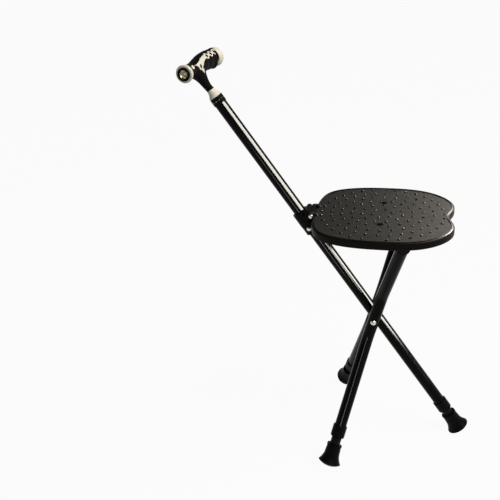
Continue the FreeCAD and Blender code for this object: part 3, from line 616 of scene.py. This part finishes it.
def turned(name, profile, centre, axis, finish):
    """A ring turned about an axis. Its profile is pairs of radius and place along the axis."""
    side = axis.orthogonal().normalized()
    up = axis.cross(side)
    shape = bmesh.new()
    rows = []
    for step in range(RING_STEPS):
        turn = 2 * math.pi * step / RING_STEPS
        out = side * math.cos(turn) + up * math.sin(turn)
        rows.append([shape.verts.new(centre + out * radius + axis * ahead) for radius, ahead in profile])
    for step in range(RING_STEPS):
        row, following = rows[step], rows[(step + 1) % RING_STEPS]
        for corner in range(len(profile)):
            after = (corner + 1) % len(profile)
            shape.faces.new((row[corner], row[after], following[after], following[corner]))
    bmesh.ops.recalc_face_normals(shape, faces=shape.faces)
    mesh = bpy.data.meshes.new(name)
    shape.to_mesh(mesh)
    shape.free()
    mesh.materials.append(finish)
    return whole_piece(name, mesh)


lens_piece = cad_pieces["torch_lens"]
lens_middle = middle_of(lens_piece)
lens_axis = max(lens_piece.data.polygons, key=lambda face: face.area).normal.copy()
if lens_axis.dot(lens_middle - middle_of(cad_pieces["torch_reflector"])) < 0:
    lens_axis.negate()
lens_ring = turned("lens_ring", RING_PROFILE, lens_middle, lens_axis, finishes["black_plastic"])
put(lens_ring, "pole")
print("the lens looks along", tuple(round(part, 3) for part in lens_axis))

# %% [markdown]
# ## Floor
#
# The catalogue picture has no visible floor: the object stands on white. A very large pale floor gives
# that. What is seen of it is lifted towards white and the rest is real light, so the soft shadow under
# the feet stays. Reflections see the same white.

# %% Floor
FLOOR_HALF = 14.0
FLOOR_LIFT = 0.95
FLOOR_DARKER = (0.50, 0.50, 0.50, 1.0)
FLOOR_PALER = (0.53, 0.53, 0.53, 1.0)


def floor_white():
    finish = Finish("studio floor")
    colour = finish.blend(finish.clouds(0.4), FLOOR_DARKER, FLOOR_PALER)
    matt = finish.add("ShaderNodeBsdfDiffuse", None, {"Color": colour})
    glow = finish.add("ShaderNodeEmission", None, {"Color": (1.0, 1.0, 1.0, 1.0), "Strength": 1.0})
    skin = finish.add("ShaderNodeMixShader", None, {0: FLOOR_LIFT * finish.seen(), 1: matt, 2: glow})
    finish.add("ShaderNodeOutputMaterial", None, {"Surface": skin})
    return finish.material


floor_mesh = bpy.data.meshes.new("studio_floor")
corners = [(-FLOOR_HALF, -FLOOR_HALF, 0), (FLOOR_HALF, -FLOOR_HALF, 0),
           (FLOOR_HALF, FLOOR_HALF, 0), (-FLOOR_HALF, FLOOR_HALF, 0)]
floor_mesh.from_pydata(corners, [], [(0, 1, 2, 3)])
floor = bpy.data.objects.new("studio_floor", floor_mesh)
bpy.context.collection.objects.link(floor)
floor_mesh.materials.append(floor_white())
print("floor", 2 * FLOOR_HALF, "metres wide")

# %% [markdown]
# ## The room
#
# Beyond the floor the world is plain. What is seen of it goes from pale grey at the horizon to dark
# overhead, which keeps the gloss black, and the light that it gives is weak and even.

# %% World
ROOM_LIGHT = 0.35
PALE_UP_TO = 0.12
DARK_FROM = 0.5
HORIZON = 1.0
CEILING = 0.10

world = bpy.data.worlds.new("studio room")
world.use_nodes = True
room = Net(world.node_tree)
direction = room.add("ShaderNodeTexCoord", out="Generated")
lift = room.add("ShaderNodeSeparateXYZ", None, {0: direction}, out="Z")
sky = HORIZON + (CEILING - HORIZON) * room.climb(lift, PALE_UP_TO, DARK_FROM)
strength = room.add("ShaderNodeMix", {"data_type": "FLOAT"}, {0: room.seen(), 2: ROOM_LIGHT, 3: sky})
backdrop = room.add("ShaderNodeBackground", None, {"Strength": strength})
room.add("ShaderNodeOutputWorld", None, {"Surface": backdrop})
bpy.context.scene.world = world
print("the room shines at strength", ROOM_LIGHT)

# %% [markdown]
# ## Lamps
#
# Gloss black shows the lamps and little else, so their shapes matter more than their strength. Where a
# lamp must hang follows from a mirror's rule: the paint sends the eye's line on, turned about the way
# the surface faces. For the upper pole the wide stripe right of the middle looks out level and to the
# right, past the camera's shoulder, so a broad softbox stands there, and a small one at the left gives
# the second, grey streak. Studio flags keep such lamps off the rest, and light linking does the same
# here: each of them names the only pieces it serves. The seat has two of its own, one beyond it for
# its sheen and one at the right for the bright line along its rim, and the nubs have one for a glint.

# %% Hang the lamps
LAMPS_FACE = Vector((0.0, 0.0, 0.5))
WARM = (1.0, 0.95, 0.86)
beyond = Vector((look.x, look.y, 0)).normalized()


def seen_from_seat(round_by, up_by, distance):
    """A place by its angle to the right of straight ahead, its angle above level, and its distance."""
    turn = math.radians(round_by)
    climb = math.radians(up_by)
    level = beyond * math.cos(turn) + level_right * math.sin(turn)
    return LAMPS_FACE + (level * math.cos(climb) + Vector((0, 0, math.sin(climb)))) * distance


def hang(name, place, width, height, power, only=None, spared=None):
    """A flat lamp that faces the object, its height upright.

    With only, it serves reflections on those pieces alone. With spared, it leaves those pieces out.
    """
    light = bpy.data.lights.new(name, "AREA")
    light.shape = "RECTANGLE"
    light.size = width
    light.size_y = height
    light.energy = power
    light.color = WARM
    lamp = bpy.data.objects.new(name, light)
    bpy.context.collection.objects.link(lamp)
    away = (place - LAMPS_FACE).normalized()
    side = Vector((0, 0, 1)).cross(away).normalized()
    lamp_axes = Matrix((side, away.cross(side), away)).transposed()
    lamp.matrix_world = Matrix.Translation(place) @ lamp_axes.to_4x4()
    lamp.visible_camera = False
    if only:
        lamp.visible_diffuse = False
        lamp.light_linking.receiver_collection = only
    if spared:
        for member in spared.collection_objects:
            member.light_linking.link_state = "EXCLUDE"
        lamp.light_linking.receiver_collection = spared
    print(name, "gives", power, "watts")


def served(name, pieces):
    """A collection of pieces that a lamp may name."""
    group = bpy.data.collections.new(name)
    for piece in pieces:
        group.objects.link(piece)
    return group


tube_pieces = [cad_pieces[name] for name in ("main_pole", "left_leg_tube", "right_leg_tube")]
tubes = served("glossy tubes", tube_pieces)
seat_top = served("seat top", [cad_pieces["seat_board"], nubs])
nubs_alone = served("nubs alone", [nubs])
flagged = served("flagged tubes", tube_pieces)
hang("right softbox", seen_from_seat(round_by=121, up_by=21, distance=1.7),
     width=1.66, height=1.5, power=1500, only=tubes)
hang("left strip", seen_from_seat(round_by=-164, up_by=-15, distance=0.75),
     width=0.14, height=0.5, power=5, only=tubes)
hang("sheen lamp", seen_from_seat(round_by=40, up_by=27, distance=1.9),
     width=0.8, height=0.4, power=28, only=seat_top)
hang("rim lamp", seen_from_seat(round_by=66, up_by=30, distance=1.6),
     width=0.5, height=0.3, power=130, only=seat_top)
hang("nub lamp", seen_from_seat(round_by=58, up_by=26, distance=1.8),
     width=0.4, height=0.3, power=110, only=nubs_alone)
hang("key", seen_from_seat(round_by=120, up_by=48, distance=2.0),
     width=1.1, height=0.9, power=40, spared=flagged)

# %% [markdown]
# ## The end
#
# Plain screen colours are used, without a film look.

# %% Finish
bpy.context.scene.view_settings.view_transform = "Standard"
